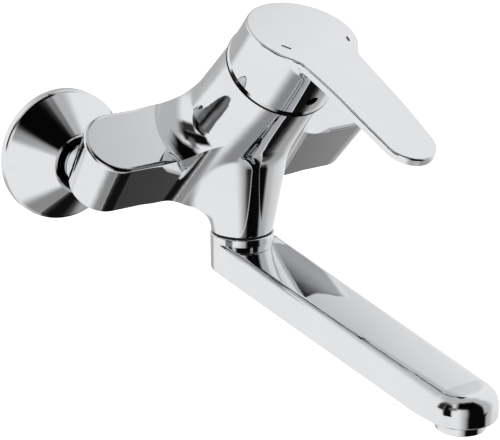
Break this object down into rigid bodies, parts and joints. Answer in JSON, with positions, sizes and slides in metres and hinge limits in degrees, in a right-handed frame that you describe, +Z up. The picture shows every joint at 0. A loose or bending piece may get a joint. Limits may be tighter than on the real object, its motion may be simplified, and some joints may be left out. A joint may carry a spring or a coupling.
{
  "type": "wall-mounted basin mixer tap",
  "caption": "Wall-mounted single-lever mixer tap: two inlet arms with round rosettes, a forward-leaning barrel with a flat lever handle and a long swivelling spout below.",
  "frame": {"origin": "on the finished wall, midway between the two threaded wall connections", "axes": "+Y into the wall along the wall connections, +X to the right along the wall as seen from the room, +Z up"},
  "size_m": [0.226, 0.3049, 0.1828],
  "materials": {
    "chrome_plate": "polished",
    "bare_brass": "machined",
    "stainless_steel": "machined",
    "black_rubber": "matt",
    "white_ceramic": "lapped ceramic",
    "grey_plastic": "moulded",
    "white_plastic": "moulded"
  },
  "bodies": {
    "tap_body": {"body_casting": "chrome_plate", "hot_s_union": "bare_brass", "hot_filter_washer": "black_rubber", "hot_union_nut": "bare_brass", "hot_inlet_nipple": "bare_brass", "hot_rosette": "chrome_plate", "hot_rosette_grip_ring": "grey_plastic", "cold_s_union": "bare_brass", "cold_filter_washer": "black_rubber", "cold_union_nut": "bare_brass", "cold_inlet_nipple": "bare_brass", "cold_rosette": "chrome_plate", "cold_rosette_grip_ring": "grey_plastic", "cartridge_base": "grey_plastic", "cartridge_base_seals": "black_rubber", "fixed_ceramic_disc": "white_ceramic", "cartridge_housing": "grey_plastic", "retaining_nut": "bare_brass", "dome_ring": "chrome_plate", "spout_retaining_screw": "stainless_steel"},
    "turning_sleeve": {"turning_sleeve": "grey_plastic", "pivot_pin": "stainless_steel"},
    "lever": {"handle": "chrome_plate", "handle_grub_screw": "stainless_steel", "lever_stem": "stainless_steel"},
    "sliding_disc": {"moving_ceramic_disc": "white_ceramic", "disc_carrier": "grey_plastic"},
    "spout": {"spout_arm": "chrome_plate", "spout_nipple": "bare_brass", "spout_o_rings": "black_rubber", "spout_glide_rings": "white_plastic", "spout_washer": "black_rubber", "aerator_housing": "chrome_plate", "aerator_insert": "white_plastic", "aerator_seal": "black_rubber"}
  },
  "joints": [
    {"name": "lever_turn", "type": "hinge", "parent": "tap_body", "child": "turning_sleeve", "pos_m": [0, -0.113, 0.0671], "axis": [0, -0.6626, 0.749], "range_deg": [-50, 50]},
    {"name": "lever_lift", "type": "hinge", "parent": "turning_sleeve", "child": "lever", "pos_m": [0, -0.1024, 0.05512], "axis": [-1, 0, 0], "range_deg": [0, 20]},
    {"name": "disc_slide", "type": "slide", "parent": "turning_sleeve", "child": "sliding_disc", "axis": [0, -0.749, -0.6626], "range_m": [0, 0.0039]},
    {"name": "spout_swivel", "type": "hinge", "parent": "tap_body", "child": "spout", "pos_m": [0, -0.0757, -0.0345], "axis": [0, 0, 1], "range_deg": [-90, 90]}
  ],
  "couplings": [
    {"joint": "disc_slide", "follows": "lever_lift", "m_per_rad": 0.01097}
  ]
}
